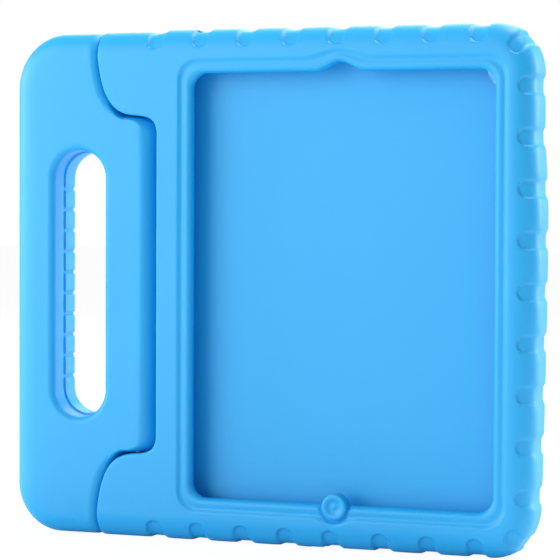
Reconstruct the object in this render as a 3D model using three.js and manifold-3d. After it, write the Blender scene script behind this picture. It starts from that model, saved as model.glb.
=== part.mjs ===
// Foam tablet case for children, with a carrying handle that folds back as a stand.
// Millimetres. X to the right seen from the front, Y to the back, Z up, standing on its bottom edge.
// Inside, everything is laid out from the middle of the tablet's glass: x 0 and z 0 at its centre,
// y 0 at its surface. The outer group then moves the whole to the middle of the bottom edge.
import * as THREE from "three";
import { mergeVertices } from "three/addons/utils/BufferGeometryUtils.js";
import Module from "manifold-3d";

const wasm = await Module();
wasm.setup();

// The tablet that the pocket is made for
const tabletWidth = 185.7;
const tabletHeight = 241.2;
const tabletThickness = 9.4;
const pocketClearance = 0.3;
const pocketCorner = 9;

// Foam walls round the pocket
const sideWall = 8.85;
const endWall = 9.6;
const seamWall = 6.1;
const backWall = 8.7;
const lipThickness = 4.8;
const lipOverlap = 12.9;
const lipBand = 6.2;
const ringRise = 1.2;
const windowCorner = 8;
const ringCorner = 10;
const lensBumpHeight = 4.6;
const ringBumpHeight = 3.7;
const lensBumpHalfWidth = 13;

// Outer form of the case
const outerCorner = 24;
const frontRollWidth = 14;
const frontRollDepth = 10;
const backRoll = 4;
const earDrop = 0.8;

// U-shaped finger notches in the rim
const notchWidth = 8.5;
const notchDepth = 1.2;
const notchReach = 9.5;
const notchPitchSide = 25;
const notchPitchEnd = 24.6;
const firstEndNotch = 30.5;

// Soft pad over the tablet's front button
const padRadius = 6.9;
const padRise = 1.5;
const padGrooveWidth = 2.2;
const padBelowWindow = 2;
const padDishRadius = 4.6;
const padDishDepth = 1;

// Openings in the walls
const lensHoleRadius = 8;
const lensHoleInset = 13;
const plugOpeningWidth = 34;
const plugOpeningDepth = 7;
const jackHoleRadius = 3.3;
const jackHoleInset = 15;
const soundSlotLength = 24;
const soundSlotWidth = 6;
const soundSlotInset = 24;
const soundSlotRise = 8;

// Handle
const handleReach = 82.65;
const handleDrop = 1.1;
const handleCorner = 27.5;
const handleRollWidth = 10;
const slotWidth = 29;
const slotHeight = 138;
const slotFromHinge = 9.5;
const slotLedge = 1;
const slotLedgeDepth = 12;
const grooveCount = 10;
const groovePitch = 10.9;
const grooveWidth = 1.6;
const grooveDepth = 0.9;

// Hinge between the handle's root and the two ears of the case
const seamGap = 0.8;
const rootRadius = 19.45;
const rootHalfHeight = 86.5;
const shoulderOut = 13.8;
const seamRise = 31.5;
const seamCorner = 10;
const hingeFromBack = 8.5;
const foldedAngle = 100;
const pinRadius = 2;
const sleeveWall = 1.7;
const sleeveLength = 18;
const earSleeveDepth = 8;
const handleSleeveDepth = 2.5;
const fitGap = 0.3;

// Places worked out from the sizes above
const pocketHalfWidth = tabletWidth / 2 + pocketClearance;
const pocketHalfHeight = tabletHeight / 2 + pocketClearance;
const pocketDepth = tabletThickness + pocketClearance;
const caseRight = pocketHalfWidth + sideWall;
const caseLeft = -pocketHalfWidth - seamWall;
const caseHalfHeight = pocketHalfHeight + endWall;
const earHalfHeight = caseHalfHeight - earDrop;
const lipFront = -lipThickness;
const frontY = lipFront - ringRise;
const backY = pocketDepth + backWall;
const windowHalfWidth = pocketHalfWidth - lipOverlap;
const windowHalfHeight = pocketHalfHeight - lipOverlap;
const ringHalfWidth = windowHalfWidth + lipBand;
const ringHalfHeight = windowHalfHeight + lipBand;
const hingeX = caseLeft - seamGap - rootRadius;
const hingeY = backY - hingeFromBack;
const handleLeft = caseLeft - handleReach;
const handleHalfHeight = caseHalfHeight - handleDrop;
const seamTopX = hingeX - shoulderOut;
const padZ = -windowHalfHeight - padBelowWindow;
const through = 40;
const beyond = 200;

function solidFrom(geometry) {
  const plain = geometry.index ? geometry.toNonIndexed() : geometry.clone();
  plain.deleteAttribute("normal");
  plain.deleteAttribute("uv");
  const merged = mergeVertices(plain, 1e-4);
  return new wasm.Manifold(new wasm.Mesh({
    numProp: 3,
    vertProperties: new Float32Array(merged.attributes.position.array),
    triVerts: new Uint32Array(merged.index.array),
  }));
}

function geometryFrom(solid) {
  const mesh = solid.getMesh();
  const geometry = new THREE.BufferGeometry();
  geometry.setAttribute("position", new THREE.BufferAttribute(new Float32Array(mesh.vertProperties), 3));
  geometry.setIndex(new THREE.BufferAttribute(new Uint32Array(mesh.triVerts), 1));
  geometry.computeVertexNormals();
  return geometry;
}

// A flat outline in X and Z, drawn through the depth from y0 to y1
function prism(points, y0, y1) {
  const shape = new THREE.Shape(points.map(([x, z]) => new THREE.Vector2(x, z)));
  const geometry = new THREE.ExtrudeGeometry(shape, { depth: y1 - y0, bevelEnabled: false });
  geometry.rotateX(Math.PI / 2);
  geometry.translate(0, y1, 0);
  return solidFrom(geometry);
}

function arcPoints(cx, cz, radius, from, to, steps) {
  return Array.from({ length: steps + 1 }, (_, i) => {
    const angle = THREE.MathUtils.degToRad(from + ((to - from) * i) / steps);
    return [cx + radius * Math.cos(angle), cz + radius * Math.sin(angle)];
  });
}

function roundedRectangle(halfWidth, halfHeight, radius, steps = 6) {
  const x = halfWidth - radius;
  const z = halfHeight - radius;
  return [
    ...arcPoints(x, -z, radius, -90, 0, steps),
    ...arcPoints(x, z, radius, 0, 90, steps),
    ...arcPoints(-x, z, radius, 90, 180, steps),
    ...arcPoints(-x, -z, radius, 180, 270, steps),
  ];
}

// A rounded rectangle whose top edge rises in a soft bump for the tablet's front camera
function bumpedRectangle(halfWidth, halfHeight, radius, bumpHeight, bumpHalfWidth) {
  const steps = 12;
  const bump = Array.from({ length: steps + 1 }, (_, i) => {
    const along = 1 - (2 * i) / steps;
    return [along * bumpHalfWidth, halfHeight + (bumpHeight / 2) * (1 + Math.cos(Math.PI * along))];
  });
  const corners = roundedRectangle(halfWidth, halfHeight, radius);
  const upperRight = corners.length / 2;
  return [...corners.slice(0, upperRight), ...bump, ...corners.slice(upperRight)];
}

function disc(cx, cz, radius, steps = 32) {
  return arcPoints(cx, cz, radius, 0, 360 - 360 / steps, steps - 1);
}

// A slot with round ends, standing upright or turned by an angle
function stadium(cx, cz, width, height, turn = 0, steps = 8) {
  const straight = (height - width) / 2;
  const points = [
    ...arcPoints(0, straight, width / 2, 0, 180, steps),
    ...arcPoints(0, -straight, width / 2, 180, 360, steps),
  ];
  const c = Math.cos(THREE.MathUtils.degToRad(turn));
  const s = Math.sin(THREE.MathUtils.degToRad(turn));
  return points.map(([x, z]) => [cx + x * c - z * s, cz + x * s + z * c]);
}

// Rings of equal length, each an outline at its own depth, closed by a flat face at both ends
function loft(rings) {
  const count = rings[0].points.length;
  const positions = rings.flatMap(({ points, y }) => points.flatMap(([x, z]) => [x, y, z]));
  const faces = [];
  for (let r = 0; r + 1 < rings.length; r += 1) {
    for (let i = 0; i < count; i += 1) {
      const a = r * count + i;
      const b = r * count + ((i + 1) % count);
      faces.push(a, b + count, b, a, a + count, b + count);
    }
  }
  const flat = (ring) => THREE.ShapeUtils.triangulateShape(
    ring.points.map(([x, z]) => new THREE.Vector2(x, z)), []);
  for (const [a, b, c] of flat(rings[0])) faces.push(a, b, c);
  const last = (rings.length - 1) * count;
  for (const [a, b, c] of flat(rings[rings.length - 1])) faces.push(last + a, last + c, last + b);
  const geometry = new THREE.BufferGeometry();
  geometry.setAttribute("position", new THREE.Float32BufferAttribute(positions, 3));
  geometry.setIndex(faces);
  return solidFrom(geometry);
}

// Stations of the rim's section from the front face over the outer wall to the back face, as
// distance in from the outline and depth. A skin of the given depth can be taken off all round.
function rimSection(rollWidth, skin = 0) {
  const front = Array.from({ length: 7 }, (_, i) => {
    const angle = THREE.MathUtils.degToRad(90 - 15 * i);
    return {
      inset: rollWidth - (rollWidth - skin) * Math.cos(angle),
      y: frontY + frontRollDepth - (frontRollDepth - skin) * Math.sin(angle),
    };
  });
  const back = Array.from({ length: 5 }, (_, i) => {
    const angle = THREE.MathUtils.degToRad(22.5 * i);
    return {
      inset: backRoll - (backRoll - skin) * Math.cos(angle),
      y: backY - backRoll + (backRoll - skin) * Math.sin(angle),
    };
  });
  return [...front, ...back];
}

// The case seen from the front, with its ears running on past the seam
function caseOutline(inset) {
  const farLeft = seamTopX - 10;
  const endNotch = caseRight - firstEndNotch - 7 * notchPitchEnd;
  const low = -caseHalfHeight + inset;
  const high = caseHalfHeight - inset;
  const x = caseRight - outerCorner;
  const z = caseHalfHeight - outerCorner;
  return [
    [farLeft, low + earDrop],
    [endNotch - notchWidth / 3, low + earDrop],
    [endNotch + notchWidth / 3, low],
    ...arcPoints(x, -z, outerCorner - inset, -90, 0, 8),
    ...arcPoints(x, z, outerCorner - inset, 0, 90, 8),
    [endNotch + notchWidth / 3, high],
    [endNotch - notchWidth / 3, high - earDrop],
    [farLeft, high - earDrop],
  ];
}

// The handle seen from the front, running on to the right past the seam
function handleOutline(inset) {
  const farRight = caseLeft;
  const high = handleHalfHeight - inset;
  const x = handleLeft + handleCorner;
  const z = handleHalfHeight - handleCorner;
  return [
    [farRight, -high],
    [farRight, high],
    ...arcPoints(x, z, handleCorner - inset, 90, 180, 8),
    ...arcPoints(x, -z, handleCorner - inset, 180, 270, 8),
  ];
}

function rolledBody(outline, rollWidth, skin = 0) {
  return loft(rimSection(rollWidth, skin).map(({ inset, y }) => ({ points: outline(inset), y })));
}

// Upper half of the seam between ear and handle, from above the case down to mid-height, moved
// sideways from its middle line by half the gap or less
function seamLine(shift) {
  const sag = 0.2;
  const middle = rootRadius + seamGap / 2;
  const down = new THREE.CurvePath();
  const at = (u, z) => new THREE.Vector2(hingeX + u, z);
  const top = at(-shoulderOut, earHalfHeight + 12);
  const start = at(-shoulderOut, rootHalfHeight + seamRise);
  const ledgeStart = at(middle / 3, rootHalfHeight + sag);
  const ledgeEnd = at(middle * 0.55, rootHalfHeight - sag);
  const cornerEnd = at(middle, rootHalfHeight - seamCorner);
  down.add(new THREE.CubicBezierCurve(
    start, at(-shoulderOut * 0.88, rootHalfHeight + seamRise * 0.45),
    at(-shoulderOut * 0.56, rootHalfHeight + 1), ledgeStart));
  down.add(new THREE.CubicBezierCurve(
    ledgeEnd, at(middle * 0.86, rootHalfHeight - 1),
    at(middle, rootHalfHeight - seamCorner * 0.3), cornerEnd));
  const points = [top, ...down.curves[0].getPoints(12), ...down.curves[1].getPoints(7), at(middle, 0)];
  return points.map((point, i) => {
    const before = points[Math.max(i - 1, 0)];
    const after = points[Math.min(i + 1, points.length - 1)];
    const along = after.clone().sub(before).normalize();
    return [point.x - along.y * shift, point.y + along.x * shift];
  });
}

function mirrored(points) {
  return points.map(([x, z]) => [x, -z]).reverse();
}

// Whole seam from above the upper ear to below the lower one
function wholeSeam(shift) {
  const upper = seamLine(shift);
  return [...upper.slice(0, -1), ...mirrored(upper.slice(0, -1))];
}

// The part of the seam's upper half that lies right (side 1) or left (side -1) of the hinge's axis,
// starting where it crosses the axis
function seamBeside(points, side) {
  const crossing = points.findIndex(([x]) => x > hingeX);
  const [x0, z0] = points[crossing - 1];
  const [x1, z1] = points[crossing];
  const axisPoint = [hingeX, z0 + ((z1 - z0) * (hingeX - x0)) / (x1 - x0)];
  return side > 0 ? [axisPoint, ...points.slice(crossing)]
    : [axisPoint, ...points.slice(0, crossing).reverse()];
}

function cylinderAt(radius, zLow, zHigh, steps = 24) {
  const geometry = new THREE.CylinderGeometry(radius, radius, zHigh - zLow, steps);
  geometry.rotateX(Math.PI / 2);
  geometry.translate(hingeX, hingeY, (zLow + zHigh) / 2);
  return solidFrom(geometry);
}

function box(x0, x1, y0, y1, z0, z1) {
  const geometry = new THREE.BoxGeometry(x1 - x0, y1 - y0, z1 - z0);
  geometry.translate((x0 + x1) / 2, (y0 + y1) / 2, (z0 + z1) / 2);
  return solidFrom(geometry);
}

// All rim notches: a U through the depth, which takes only the outer skin of the rim away
function rimNotches() {
  const length = 2 * notchReach;
  const uShape = (x, z, turn) => prism(stadium(x, z, notchWidth, length, turn), -through, through);
  const cuts = [];
  const sideCount = Math.floor((caseHalfHeight - outerCorner) / notchPitchSide);
  for (let i = -sideCount; i <= sideCount; i += 1) {
    cuts.push(uShape(caseRight, i * notchPitchSide, 90));
  }
  for (let x = caseRight - firstEndNotch; x > caseLeft - notchWidth; x -= notchPitchEnd) {
    cuts.push(uShape(x, caseHalfHeight, 0), uShape(x, -caseHalfHeight, 0));
  }
  const diagonal = outerCorner * Math.SQRT1_2;
  const cornerX = caseRight - outerCorner + diagonal;
  const cornerZ = caseHalfHeight - outerCorner + diagonal;
  cuts.push(uShape(cornerX, cornerZ, -45), uShape(cornerX, -cornerZ, 45));
  return wasm.Manifold.union(cuts).subtract(rolledBody(caseOutline, frontRollWidth, notchDepth));
}

// What the handle's shoulders sweep at the back of the ears as it folds
function foldingPath() {
  const upper = seamBeside(seamLine(0), -1);
  const top = upper[upper.length - 1][1];
  const far = seamTopX - 10;
  const outline = [[far, rootHalfHeight - seamCorner * 2], [hingeX, rootHalfHeight - seamCorner * 2],
    ...upper, [far, top]];
  const steps = 5;
  const swept = [];
  for (let i = 0; i <= steps; i += 1) {
    for (const points of [outline, mirrored(outline)]) {
      swept.push(prism(points, frontY - 1, backY + seamGap / 2)
        .translate([-hingeX, -hingeY, 0])
        .rotate([0, 0, (-foldedAngle * i) / steps])
        .translate([hingeX, hingeY, 0]));
    }
  }
  return wasm.Manifold.union(swept);
}

// Round seats for a hinge pin and its sleeve, above and below mid-height
function sleeveSeat(sleeveLow, pinLow, pinHigh) {
  const parts = [];
  for (const side of [1, -1]) {
    const span = (low, high) => (side > 0 ? [low, high] : [-high, -low]);
    parts.push(cylinderAt(pinRadius + sleeveWall + 2 * fitGap,
      ...span(sleeveLow - fitGap, sleeveLow + sleeveLength + fitGap)));
    parts.push(cylinderAt(pinRadius + fitGap, ...span(pinLow, pinHigh)));
  }
  return wasm.Manifold.union(parts);
}

const earSleeveLow = rootHalfHeight + earSleeveDepth;
const handleSleeveLow = rootHalfHeight - handleSleeveDepth - sleeveLength;
const pinLow = handleSleeveLow;
const pinHigh = earSleeveLow + sleeveLength;

function caseShell() {
  const rightOfSeam = prism([...wholeSeam(seamGap / 2), [caseRight + 10, -beyond],
    [caseRight + 10, beyond]], -through, through);
  const recess = wasm.Manifold.union([
    prism(bumpedRectangle(ringHalfWidth, ringHalfHeight, ringCorner, ringBumpHeight,
      lensBumpHalfWidth + lipBand), -through, lipFront),
    prism(disc(0, padZ, padRadius + padGrooveWidth), -through, lipFront),
  ]);
  const window = prism(bumpedRectangle(windowHalfWidth, windowHalfHeight, windowCorner, lensBumpHeight,
    lensBumpHalfWidth), -through, pocketDepth / 2);
  const pocket = prism(roundedRectangle(pocketHalfWidth, pocketHalfHeight, pocketCorner), 0, pocketDepth);
  const pad = prism(disc(0, padZ, padRadius), lipFront - padRise, 0);
  const padDish = prism(disc(0, padZ, padDishRadius), -through, lipFront - padRise + padDishDepth);
  const lensHole = prism(disc(pocketHalfWidth - lensHoleInset, pocketHalfHeight - lensHoleInset,
    lensHoleRadius), pocketDepth / 2, through);
  const plugOpening = box(-plugOpeningWidth / 2, plugOpeningWidth / 2,
    (pocketDepth - plugOpeningDepth) / 2, (pocketDepth + plugOpeningDepth) / 2,
    -caseHalfHeight - 5, -pocketHalfHeight + 5);
  const jackHole = cylinderAt(jackHoleRadius, pocketHalfHeight - 5, caseHalfHeight + 5)
    .translate([-pocketHalfWidth + jackHoleInset - hingeX, pocketDepth / 2 - hingeY, 0]);
  const soundSlot = prism(stadium(pocketHalfWidth - soundSlotInset, -pocketHalfHeight + soundSlotRise,
    soundSlotWidth, soundSlotLength, 90), pocketDepth / 2, through);
  const inFoam = rootHalfHeight - seamCorner;
  return rolledBody(caseOutline, frontRollWidth)
    .subtract(rimNotches())
    .subtract(recess)
    .subtract(window)
    .add(pad)
    .subtract(padDish)
    .subtract(wasm.Manifold.union([pocket, lensHole, plugOpening, jackHole, soundSlot]))
    .intersect(rightOfSeam)
    .subtract(foldingPath())
    .subtract(sleeveSeat(earSleeveLow, inFoam, pinHigh + fitGap));
}

function handle() {
  const seam = wholeSeam(-seamGap / 2);
  const leftOfAxis = box(handleLeft - 10, hingeX, -through, through, -beyond, beyond);
  const leftOfSeam = prism([...seam, [handleLeft - 10, -beyond], [handleLeft - 10, beyond]]
    .reverse(), -through, through);
  const grip = rolledBody(handleOutline, handleRollWidth).intersect(leftOfSeam).intersect(leftOfAxis);
  const upper = seamBeside(seamLine(-seamGap / 2), 1).slice(0, -1);
  const profile = [...mirrored(upper).reverse(), ...upper.reverse()]
    .map(([x, z]) => new THREE.Vector2(x - hingeX, z));
  const turned = new THREE.LatheGeometry(profile, 48);
  turned.rotateX(Math.PI / 2);
  turned.translate(hingeX, hingeY, 0);
  const root = solidFrom(turned)
    .intersect(box(handleLeft, caseLeft, frontY, backY, -beyond, beyond));
  const slotX = hingeX - slotFromHinge - slotWidth / 2;
  const ledgeY = backY - slotLedgeDepth;
  const slotFront = prism(stadium(slotX, 0, slotWidth, slotHeight, 0, 12), -through, ledgeY);
  const slotBack = prism(stadium(slotX, 0, slotWidth - 2 * slotLedge, slotHeight - 2 * slotLedge, 0, 12),
    0, through);
  const innerX = slotX - slotWidth / 2 + slotLedge;
  const grooves = Array.from({ length: grooveCount }, (_, i) => {
    const z = (i - (grooveCount - 1) / 2) * groovePitch;
    return box(innerX - grooveDepth, innerX + 1, ledgeY - 1, backY + 1, z - grooveWidth / 2,
      z + grooveWidth / 2);
  });
  const outOfRoot = rootHalfHeight + seamCorner;
  return grip.add(root)
    .subtract(wasm.Manifold.union([slotFront, slotBack, ...grooves]))
    .subtract(sleeveSeat(handleSleeveLow, pinLow - fitGap, outOfRoot));
}

function sleeve(zLow) {
  const inner = pinRadius + fitGap;
  const outer = inner + sleeveWall;
  const profile = [[inner, 0], [outer, 0], [outer, sleeveLength], [inner, sleeveLength], [inner, 0]]
    .map(([r, z]) => new THREE.Vector2(r, z));
  const geometry = new THREE.LatheGeometry(profile, 24);
  geometry.rotateX(Math.PI / 2);
  geometry.translate(hingeX, hingeY, zLow);
  return solidFrom(geometry);
}

const foamMaterial = () => new THREE.MeshStandardMaterial({ color: 0x2f9df0, roughness: 0.75, metalness: 0 });
const pinMaterial = () => new THREE.MeshStandardMaterial({ color: 0x6f8fb8, roughness: 0.4, metalness: 0 });
const sleeveMaterial = () => new THREE.MeshStandardMaterial({ color: 0x3d6ea8, roughness: 0.5, metalness: 0 });

function piece(name, solid, material) {
  const mesh = new THREE.Mesh(geometryFrom(solid), material);
  mesh.name = name;
  return mesh;
}

const insides = new THREE.Group();
insides.add(piece("case_shell", caseShell(), foamMaterial()));
insides.add(piece("handle", handle(), foamMaterial()));
for (const [end, side] of [["upper", 1], ["lower", -1]]) {
  const low = (zLow, length) => (side > 0 ? zLow : -zLow - length);
  const pinStart = low(pinLow, pinHigh - pinLow);
  insides.add(piece(`pivot_pin_${end}`, cylinderAt(pinRadius, pinStart, pinStart + pinHigh - pinLow),
    pinMaterial()));
  insides.add(piece(`ear_sleeve_${end}`, sleeve(low(earSleeveLow, sleeveLength)), sleeveMaterial()));
  insides.add(piece(`handle_sleeve_${end}`, sleeve(low(handleSleeveLow, sleeveLength)), sleeveMaterial()));
}
const foremost = Math.min(frontY, lipFront - padRise);
insides.position.set(-(handleLeft + caseRight) / 2, -(foremost + backY) / 2, caseHalfHeight);

const tabletCase = new THREE.Group();
tabletCase.add(insides);

export default tabletCase;
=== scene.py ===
"""Foam tablet case with a folding handle: fine surfaces, finishes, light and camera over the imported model.

Lengths in the tables below are millimetres, measured from the middle of the pocket's front as in the
model's own layout: x to the right, y to the back, z up from mid-height.
"""

import bmesh
import bpy
import numpy as np
from mathutils import Matrix, Vector


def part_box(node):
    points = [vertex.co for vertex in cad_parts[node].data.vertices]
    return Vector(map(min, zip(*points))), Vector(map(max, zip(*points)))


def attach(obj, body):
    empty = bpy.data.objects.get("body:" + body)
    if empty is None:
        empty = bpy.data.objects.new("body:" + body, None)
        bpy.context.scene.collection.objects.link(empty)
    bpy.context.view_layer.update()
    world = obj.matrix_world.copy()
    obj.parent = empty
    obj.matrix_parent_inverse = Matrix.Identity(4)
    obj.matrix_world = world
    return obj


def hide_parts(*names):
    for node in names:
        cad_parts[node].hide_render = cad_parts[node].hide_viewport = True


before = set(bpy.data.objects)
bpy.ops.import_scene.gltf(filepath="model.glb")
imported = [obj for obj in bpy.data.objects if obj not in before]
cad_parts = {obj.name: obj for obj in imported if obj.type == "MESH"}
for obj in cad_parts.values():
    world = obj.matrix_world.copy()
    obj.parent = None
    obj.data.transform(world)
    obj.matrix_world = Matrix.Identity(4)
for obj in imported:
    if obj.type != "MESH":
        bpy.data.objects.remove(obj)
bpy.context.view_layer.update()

MM = 0.001
CREASE = np.radians(50.0)

# Case, as the model has it: outline, faces, edge rolls, then the loops (half width, half height, corner
# radius) of the ring line on the rim, the window and the pocket
CASE_RIGHT = 102.0
CASE_LEFT = -99.25
HALF_HEIGHT = 130.5
EAR_DROP = {1: 0.8, -1: 0.1}
OUTER_CORNER = 24.0
FRONT_Y = -6.0
POCKET_FRONT = 0.0
POCKET_Y = 9.7
BACK_Y = 18.4
FRONT_ROLL_WIDTH = 13.0
FRONT_ROLL_DEPTH = 10.0
BACK_ROLL = 4.0
RING = (86.45, 114.2, 10.0)
WINDOW = (80.25, 108.0, 8.0)
POCKET = (93.15, 120.9, 9.0)
FRONT_LOWEST = 7.5
SEAM_EDGE = 1.3
SEAM_EDGE_BACK = 1.5

# Lip between the ring line and the window: the crest outside it, the step down with the span of its
# fall, the bead with its start and width, the rounding into the window
LIP_BAND = 6.2
CREST_OUT = 2.4
STEP_DEPTH = 1.25
STEP_SPAN = (-1.6, 1.1)
BEAD_HEIGHT = 0.45
BEAD_SPAN = (0.9, 5.1)
LIP_ROUND = 1.9
LIP_ROUND_DEPTH = 2.5

# Swells of the ring line and of the window over the lens, as height and half width
RING_BUMP = (3.7, 19.2)
LENS_BUMP = (4.6, 13.0)

# How far the rim's rows reach in, and the share of the ring's corner that the ear's end edge takes
RIM_REACH = 11.6
RIM_SPARE = 1.2
EAR_SHARE = 0.8

# The right side draws in towards its ends: height where it starts, height of full draw, amount
DRAW_UPPER = (35.0, 85.0, 1.9)
DRAW_LOWER = (30.0, -110.0, 2.4)
DRAW_POWER = 1.7
DRAW_FROM = 88.0

# Finger notches: their size, how soft their walls are at the edge and on the front, and their places
NOTCH_WIDTH = 8.5
NOTCH_DEPTH = 1.2
NOTCH_REACH = 9.5
NOTCH_SOFT_WALL = 1.7
NOTCH_SOFT_FRONT = 0.35
SIDE_PITCH = 25.0
SIDE_COUNT = 5
END_PITCH = 24.6
END_FIRST = CASE_RIGHT - 30.5
END_COUNT = 8
LOWER_SHIFT = np.array([0.0, 0.0, 0.0, -1.8, -1.6, -0.8, -0.6, 0.0])

# Button pad, the channel round it (distance out, width, depth), the ring line's swell below it
# (height, half width) and the stretch of the rim that has finer columns
PAD_RADIUS = 6.6
PAD_X = -1.5
PAD_Z = -108.8
PAD_CHANNEL = (1.1, 1.0, 1.1)
CHANNEL_SOFT = 0.4
CHANNEL_SPAN = (-1.9, -0.4)
PAD_DIP = (2.6, 12.5)
FINE_HALF = 20.0

# Openings: lens hole and jack hole (place, radius), sound slot (place, half length, radius), plug
# opening (half width, front, back)
LENS_HOLE = (80.15, 107.9, 8.0)
SOUND_SLOT = (69.15, -112.9, 9.0, 3.0)
PLUG_OPENING = (17.0, 1.35, 8.35)
JACK_HOLE = (-78.15, 4.85, 3.3)

# Hinge and seam. The model's seam is SEAM_GAP wide, the visible one SEAM_SEEN, closed by SEAM_CLOSE
# more along the root, and the end edges drop by SEAM_NICK (amount, width) beside it.
SEAM_GAP = 0.8
SEAM_SEEN = 0.4
SEAM_CLOSE = 0.3
CLOSE_SPAN = (-10.0, -4.0)
SEAM_NICK = (0.6, 3.0)
ROOT_RADIUS = 19.45
ROOT_HALF = 86.5
SHOULDER_OUT = 13.8
SEAM_RISE = 31.5
SEAM_CORNER = 10.0
SEAM_ABOVE = 12.0
HINGE_X = CASE_LEFT - SEAM_GAP - ROOT_RADIUS
HINGE_Y = BACK_Y - 8.5
FOLD_ANGLE = np.radians(100.0)
FOLD_ROOM = 1.0

# The seam's two curves by their control points (x from the hinge, z from the root's end), and the number
# of points on its straight top, on each curve and on its wall
SEAM_RADIUS = ROOT_RADIUS + SEAM_GAP / 2
SHOULDER_CURVE = np.array([[-SHOULDER_OUT, SEAM_RISE], [-SHOULDER_OUT * 0.88, SEAM_RISE * 0.45],
                           [-SHOULDER_OUT * 0.56, 1.0], [SEAM_RADIUS / 3, 0.2]])
CORNER_CURVE = np.array([[SEAM_RADIUS * 0.55, -0.2], [SEAM_RADIUS * 0.86, -1.0],
                         [SEAM_RADIUS, -SEAM_CORNER * 0.3], [SEAM_RADIUS, -SEAM_CORNER]])
SEAM_COUNTS = (20, 60, 40, 40)

# The solid that cuts an ear's relief: how far it reaches past the foam, its columns left of the hinge, up
# to the folded handle's back and along it, the gaps between these, its least row gap and least depth
RELIEF_PAST = 2.0
RELIEF_COLUMNS = (26, 12, 16)
RELIEF_GAPS = (0.5, 0.3)
RELIEF_ROW_GAP = 0.04
RELIEF_LEAST = 0.01

# Handle: outline of its upper (1) and lower (-1) half, edge rolls, how far its rows reach in, the
# slow fall of its front (amount, width), the rolls at the seam (width, depth)
HANDLE_LEFT = -181.9
HANDLE_HALF = {1: 129.3, -1: 130.0}
HANDLE_CORNER = {1: 28.2, -1: 25.0}
HANDLE_ROLL_TOP = 9.5
HANDLE_ROLL_MORE = 4.0
HANDLE_ROLL_DEPTH = 9.0
HANDLE_REACH = 12.0
SEAM_REACHES = (6.0, 6.0, 5.0, 6.0, 6.0, 6.6, 8.5)
TOP_REACH_SPAN = 18.0
HANDLE_FALL = (1.2, 30.0)
HANDLE_SEAM_FRONT = (4.7, 4.5)
HANDLE_SEAM_BACK = (3.0, 3.0)
ROOT_BLEND = 9.0
LEAST_HALF = 0.05

# Slot in the handle, its ledge, the part of its round end that the handle's end edge leads to
# (degrees), and the grooves in its left wall
SLOT_HALF_WIDTH = 14.5
SLOT_FROM_HINGE = 9.5
SLOT_X = HINGE_X - SLOT_FROM_HINGE - SLOT_HALF_WIDTH
SLOT_STRAIGHT = 54.5
SLOT_ROUND = 3.6
SLOT_LEDGE_Y = 6.4
SLOT_LEDGE = 1.0
SLOT_ARC = (100.0, 125.0)
GROOVE_COUNT = 5
GROOVE_PITCH = 10.9
GROOVE_WIDTH = 1.7
GROOVE_DEPTH = 0.85

# The model's frame: right wall, back face and mid-height tie the millimetres above to the row's metres
case_low, case_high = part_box("case_shell")
ORIGIN = np.array([
    case_high.x / MM - CASE_RIGHT,
    case_high.y / MM - BACK_Y,
    (case_low.z + case_high.z) / (2 * MM),
])


def ramp(value, start, end):
    """Smoothstep: 0 before start, 1 after end, 3t^2 - 2t^3 between."""
    t = np.clip((value - start) / (end - start), 0.0, 1.0)
    return t * t * (3.0 - 2.0 * t)


def bump(along, half_width):
    """Raised cosine: (1 + cos(pi x / half width)) / 2 inside the half width, 0 outside."""
    t = np.clip(along / half_width, -1.0, 1.0)
    return 0.5 * (1.0 + np.cos(np.pi * t))


def roll(inset, width, depth):
    """Quarter ellipse: how far the surface falls back at a distance in from the edge."""
    t = np.clip((width - inset) / width, 0.0, 1.0)
    return depth * (1.0 - np.sqrt(1.0 - t * t))


def spread(centres, offsets, more=(), least_gap=0.25):
    """Sorted positions: every centre plus every offset and the ones given, none closer than the gap."""
    places = np.sort(np.concatenate([(np.asarray(centres)[:, None] + np.asarray(offsets)).ravel(), more]))
    return places[np.concatenate([[True], np.diff(places) > least_gap])]


def mesh_object(name, points, faces, material):
    """A smooth-shaded object from millimetre points (n, 3) and quads or triangles (m, k)."""
    mesh = bpy.data.meshes.new(name)
    mesh.from_pydata(((points + ORIGIN) * MM).tolist(), [], faces)
    mesh.validate()
    mesh.polygons.foreach_set("use_smooth", np.ones(len(mesh.polygons), bool))
    mesh.materials.append(material)
    piece = bpy.data.objects.new(name, mesh)
    bpy.context.scene.collection.objects.link(piece)
    return piece


def prism(corners, step):
    """Points and faces of a straight prism from its (n, 3) corners and the step to its far end."""
    n = len(corners)
    k = np.arange(n)
    sides = np.stack([k, (k + 1) % n, (k + 1) % n + n, k + n], axis=1)
    return np.vstack([corners, corners + step]), sides.tolist() + [k[::-1].tolist(), (k + n).tolist()]


def cut(piece, solids):
    """Takes closed solids out of a piece and keeps the new edges crisp."""
    opening = piece.modifiers.new("openings", "BOOLEAN")
    opening.operation = "DIFFERENCE"
    opening.solver = "EXACT"
    for points, faces in solids:
        tool = mesh_object("opening_tool", points, faces, piece.data.materials[0])
        shell = bmesh.new()
        shell.from_mesh(tool.data)
        bmesh.ops.recalc_face_normals(shell, faces=shell.faces)
        shell.to_mesh(tool.data)
        shell.free()
        opening.object = tool
        shaped = piece.evaluated_get(bpy.context.evaluated_depsgraph_get())
        piece.data = bpy.data.meshes.new_from_object(shaped)
        bpy.data.objects.remove(tool)
    piece.modifiers.clear()
    piece.data.set_sharp_from_angle(angle=CREASE)


def grid_faces(rows, columns, close_rows):
    """Quads of a grid that closes round its columns, and round its rows too where asked."""
    r = np.arange(rows if close_rows else rows - 1)[:, None]
    c = np.arange(columns)[None, :]
    r2 = (r + 1) % rows
    c2 = (c + 1) % columns
    quads = np.stack([r * columns + c, r * columns + c2, r2 * columns + c2, r2 * columns + c], axis=-1)
    return quads.reshape(-1, 4)


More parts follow.
